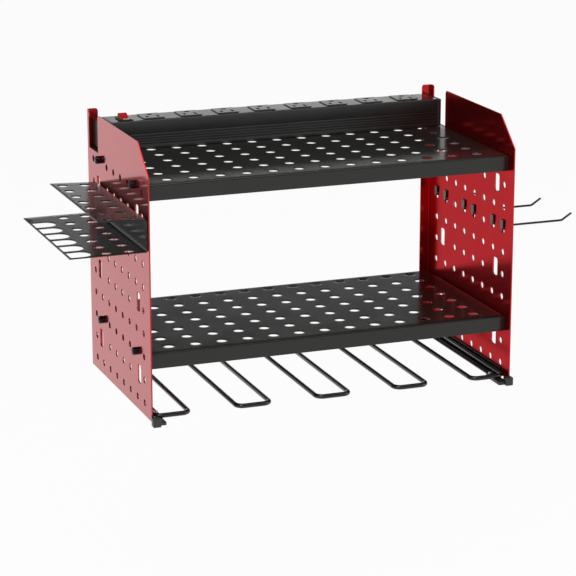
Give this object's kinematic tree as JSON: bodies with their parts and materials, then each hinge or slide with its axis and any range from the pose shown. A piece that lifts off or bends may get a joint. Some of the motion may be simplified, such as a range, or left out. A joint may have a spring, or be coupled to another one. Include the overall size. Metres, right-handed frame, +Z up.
{
  "type": "wall mounted power tool organizer",
  "caption": "Wall organizer with perforated side panels and shelves, a wire drill rack, a hand tool rack, peg hooks and a power strip.",
  "frame": {"origin": "middle of the width, on the wall plane, at the height of the side panels' bottom edge", "axes": "+X to the right seen from the front, +Y into the wall, +Z up"},
  "size_m": [0.5903, 0.2331, 0.2985],
  "materials": {
    "red_panel": "candy red metallic powder coat on sheet steel, glossy",
    "black_sheet": "black powder coat on sheet steel, semi gloss",
    "black_wire": "glossy black coating on steel wire and bent plate",
    "strip_plastic": "black moulded plastic, finely textured",
    "switch_red": "smooth bright red plastic",
    "grey_clip": "dark grey moulded plastic",
    "black_fastener": "blackened steel",
    "zinc": "zinc plated steel",
    "copper_alloy": "bare brass strip"
  },
  "bodies": {
    "root": {"contact_carrier": "strip_plastic", "cord_inlet": "strip_plastic", "drill_rack_wire": "black_wire", "ground_bus_bar": "copper_alloy", "left_clip_screw": "zinc", "left_corner_clip": "grey_clip", "left_lower_front_bolt": "zinc", "left_lower_front_nut": "black_fastener", "left_lower_rear_bolt": "zinc", "left_lower_rear_nut": "black_fastener", "left_rack_rail": "black_sheet", "left_side_panel": "red_panel", "left_strip_fixing_nut": "zinc", "left_strip_fixing_screw": "zinc", "left_upper_front_bolt": "zinc", "left_upper_front_nut": "black_fastener", "left_upper_rear_bolt": "zinc", "left_upper_rear_nut": "black_fastener", "live_bus_bar": "copper_alloy", "lower_shelf": "black_sheet", "neutral_bus_bar": "copper_alloy", "outlet_face_1": "strip_plastic", "outlet_face_2": "strip_plastic", "outlet_face_3": "strip_plastic", "outlet_face_4": "strip_plastic", "outlet_face_5": "strip_plastic", "outlet_face_6": "strip_plastic", "outlet_face_7": "strip_plastic", "outlet_face_8": "strip_plastic", "right_clip_screw": "zinc", "right_corner_clip": "grey_clip", "right_lower_front_bolt": "zinc", "right_lower_front_nut": "black_fastener", "right_lower_rear_bolt": "zinc", "right_lower_rear_nut": "black_fastener", "right_rack_rail": "black_sheet", "right_side_panel": "red_panel", "right_strip_fixing_nut": "zinc", "right_strip_fixing_screw": "zinc", "right_upper_front_bolt": "zinc", "right_upper_front_nut": "black_fastener", "right_upper_rear_bolt": "zinc", "right_upper_rear_nut": "black_fastener", "rocker_bezel": "strip_plastic", "rocker_pin": "zinc", "strip_base": "strip_plastic", "strip_cover": "strip_plastic", "strip_left_cap": "strip_plastic", "strip_right_cap": "strip_plastic", "switch_body": "strip_plastic", "upper_shelf": "black_sheet"},
    "rocker": {"power_rocker": "switch_red"},
    "tool_rack": {"tool_rack": "black_sheet"},
    "rear_hook": {"rear_hook_plate": "black_wire", "rear_hook_prong": "black_wire"},
    "middle_hook": {"middle_hook_plate": "black_wire", "middle_hook_prong": "black_wire"},
    "front_hook": {"front_hook_plate": "black_wire", "front_hook_prong": "black_wire"}
  },
  "joints": [
    {"name": "rocker_tilt", "type": "hinge", "parent": "root", "child": "rocker", "pos_m": [-0.1725, -0.0235, 0.282], "axis": [-1, 0, 0], "range_deg": [0, 24]},
    {"name": "tool_rack_lift", "type": "slide", "parent": "root", "child": "tool_rack", "axis": [-0.7071, 0, 0.7071], "range_m": [0, 0.025]},
    {"name": "rear_hook_tilt", "type": "hinge", "parent": "root", "child": "rear_hook", "pos_m": [0.20775, -0.036, 0.1694], "axis": [0, -1, 0], "range_deg": [0, 75]},
    {"name": "middle_hook_tilt", "type": "hinge", "parent": "root", "child": "middle_hook", "pos_m": [0.20775, -0.1122, 0.1694], "axis": [0, -1, 0], "range_deg": [0, 75]},
    {"name": "front_hook_tilt", "type": "hinge", "parent": "root", "child": "front_hook", "pos_m": [0.20775, -0.1884, 0.1694], "axis": [0, -1, 0], "range_deg": [0, 75]}
  ]
}
